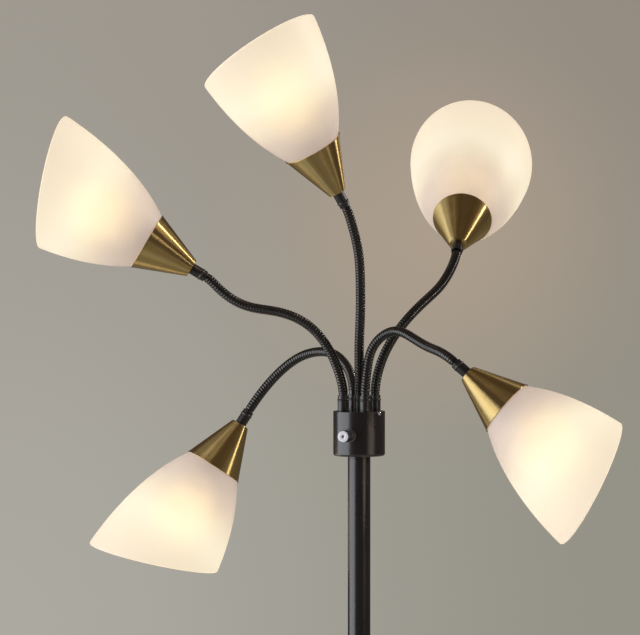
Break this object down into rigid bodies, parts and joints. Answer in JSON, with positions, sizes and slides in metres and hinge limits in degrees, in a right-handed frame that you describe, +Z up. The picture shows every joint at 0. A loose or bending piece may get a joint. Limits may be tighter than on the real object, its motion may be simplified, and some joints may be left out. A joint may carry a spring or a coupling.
{
  "type": "tree floor lamp",
  "caption": "Free-standing tree floor lamp: weighted round base, slim sectional pole and a hub whose bendable goosenecks carry obliquely cut opal glass shades in brass cones.",
  "frame": {"origin": "centre of the underside of the base, where it rests on the floor", "axes": "+Z up along the pole, -Y towards the front, the side seen in the picture, +X to the right as seen from the front"},
  "size_m": [0.563, 0.4685, 1.8786],
  "materials": {
    "felt": "matte",
    "cast_weight": "matte",
    "black_paint": "satin",
    "black_plastic": "matte",
    "zinc_steel": "satin",
    "dark_screw": "gloss",
    "silver_metal": "satin",
    "neck_black": "satin",
    "antique_brass": "satin",
    "opal_glass": "gloss",
    "white_bulb": "matte"
  },
  "bodies": {
    "stand": {"base_pad": "felt", "base_weight": "cast_weight", "base_cover": "black_paint", "cord_bushing": "black_plastic", "coupler_nuts": "zinc_steel", "pole_section_1": "black_paint", "pole_section_2": "black_paint", "pole_section_3": "black_paint", "pole_couplers": "black_paint", "hub_shell": "black_paint", "hub_top_plate": "black_paint", "hub_screws": "dark_screw", "switch_body": "black_plastic", "switch_nut": "dark_screw", "arm_1_base_ferrule": "neck_black", "arm_1_gooseneck_lower": "neck_black", "arm_2_base_ferrule": "neck_black", "arm_2_gooseneck_lower": "neck_black", "arm_3_base_ferrule": "neck_black", "arm_3_gooseneck_lower": "neck_black", "arm_4_base_ferrule": "neck_black", "arm_4_gooseneck_lower": "neck_black", "arm_5_base_ferrule": "neck_black", "arm_5_gooseneck_lower": "neck_black"},
    "knob": {"switch_knob": "silver_metal"},
    "arm_1_mid": {"arm_1_gooseneck_upper": "neck_black"},
    "arm_1_head": {"arm_1_head_ferrule": "neck_black", "arm_1_cone": "antique_brass", "arm_1_socket": "black_plastic", "arm_1_shade_ring": "black_plastic", "arm_1_shade": "opal_glass", "arm_1_bulb": "white_bulb"},
    "arm_2_mid": {"arm_2_gooseneck_upper": "neck_black"},
    "arm_2_head": {"arm_2_head_ferrule": "neck_black", "arm_2_cone": "antique_brass", "arm_2_socket": "black_plastic", "arm_2_shade_ring": "black_plastic", "arm_2_shade": "opal_glass", "arm_2_bulb": "white_bulb"},
    "arm_3_mid": {"arm_3_gooseneck_upper": "neck_black"},
    "arm_3_head": {"arm_3_head_ferrule": "neck_black", "arm_3_cone": "antique_brass", "arm_3_socket": "black_plastic", "arm_3_shade_ring": "black_plastic", "arm_3_shade": "opal_glass", "arm_3_bulb": "white_bulb"},
    "arm_4_mid": {"arm_4_gooseneck_upper": "neck_black"},
    "arm_4_head": {"arm_4_head_ferrule": "neck_black", "arm_4_cone": "antique_brass", "arm_4_socket": "black_plastic", "arm_4_shade_ring": "black_plastic", "arm_4_shade": "opal_glass", "arm_4_bulb": "white_bulb"},
    "arm_5_mid": {"arm_5_gooseneck_upper": "neck_black"},
    "arm_5_head": {"arm_5_head_ferrule": "neck_black", "arm_5_cone": "antique_brass", "arm_5_socket": "black_plastic", "arm_5_shade_ring": "black_plastic", "arm_5_shade": "opal_glass", "arm_5_bulb": "white_bulb"}
  },
  "joints": [
    {"name": "arm_1_lower_bend", "type": "hinge", "parent": "stand", "child": "arm_1_mid", "pos_m": [-0.02995, -0.01258, 1.55319], "axis": [0.1261, -0.992, 0], "range_deg": [-10, 20], "deforming": ["arm_1_gooseneck_lower"]},
    {"name": "arm_1_upper_bend", "type": "hinge", "parent": "arm_1_mid", "child": "arm_1_head", "pos_m": [-0.11086, -0.02805, 1.59629], "axis": [0.5157, 0.0655, 0.8543], "range_deg": [-25, 20], "deforming": ["arm_1_gooseneck_upper"]},
    {"name": "arm_2_lower_bend", "type": "hinge", "parent": "stand", "child": "arm_2_mid", "pos_m": [-0.00002, -0.00674, 1.5558], "axis": [0.805, -0.5933, 0], "range_deg": [-25, 5], "deforming": ["arm_2_gooseneck_lower"]},
    {"name": "arm_2_upper_bend", "type": "hinge", "parent": "arm_2_mid", "child": "arm_2_head", "pos_m": [-0.00114, -0.03431, 1.64891], "axis": [0.526, 0.7135, 0.4628], "range_deg": [-10, 25], "deforming": ["arm_2_gooseneck_upper"]},
    {"name": "arm_3_lower_bend", "type": "hinge", "parent": "stand", "child": "arm_3_mid", "pos_m": [0.02796, 0.005, 1.55391], "axis": [-0.8325, 0.5541, 0], "range_deg": [-25, 25], "deforming": ["arm_3_gooseneck_lower"]},
    {"name": "arm_3_upper_bend", "type": "hinge", "parent": "arm_3_mid", "child": "arm_3_head", "pos_m": [0.08241, 0.04858, 1.6155], "axis": [-0.2946, -0.4426, 0.8469], "range_deg": [-25, 25], "deforming": ["arm_3_gooseneck_upper"]},
    {"name": "arm_4_lower_bend", "type": "hinge", "parent": "stand", "child": "arm_4_mid", "pos_m": [0.01358, -0.0138, 1.55524], "axis": [0.6633, 0.7484, 0], "range_deg": [-25, 25], "deforming": ["arm_4_gooseneck_lower"]},
    {"name": "arm_4_upper_bend", "type": "hinge", "parent": "arm_4_mid", "child": "arm_4_head", "pos_m": [0.06774, -0.08342, 1.55736], "axis": [0.5116, -0.4535, 0.7298], "range_deg": [-25, 25], "deforming": ["arm_4_gooseneck_upper"]},
    {"name": "arm_5_lower_bend", "type": "hinge", "parent": "stand", "child": "arm_5_mid", "pos_m": [-0.01743, 0.0479, 1.54048], "axis": [-0.5429, -0.8398, 0], "range_deg": [-20, 25], "deforming": ["arm_5_gooseneck_lower"]},
    {"name": "arm_5_upper_bend", "type": "hinge", "parent": "arm_5_mid", "child": "arm_5_head", "pos_m": [-0.07951, 0.11217, 1.5245], "axis": [-0.7616, 0.4924, 0.4213], "range_deg": [-25, 25], "deforming": ["arm_5_gooseneck_upper"]},
    {"name": "switch_knob_turn", "type": "hinge", "parent": "stand", "child": "knob", "pos_m": [-0.01362, -0.03548, 1.4692], "axis": [-0.3584, -0.9336, 0], "continuous": true}
  ]
}
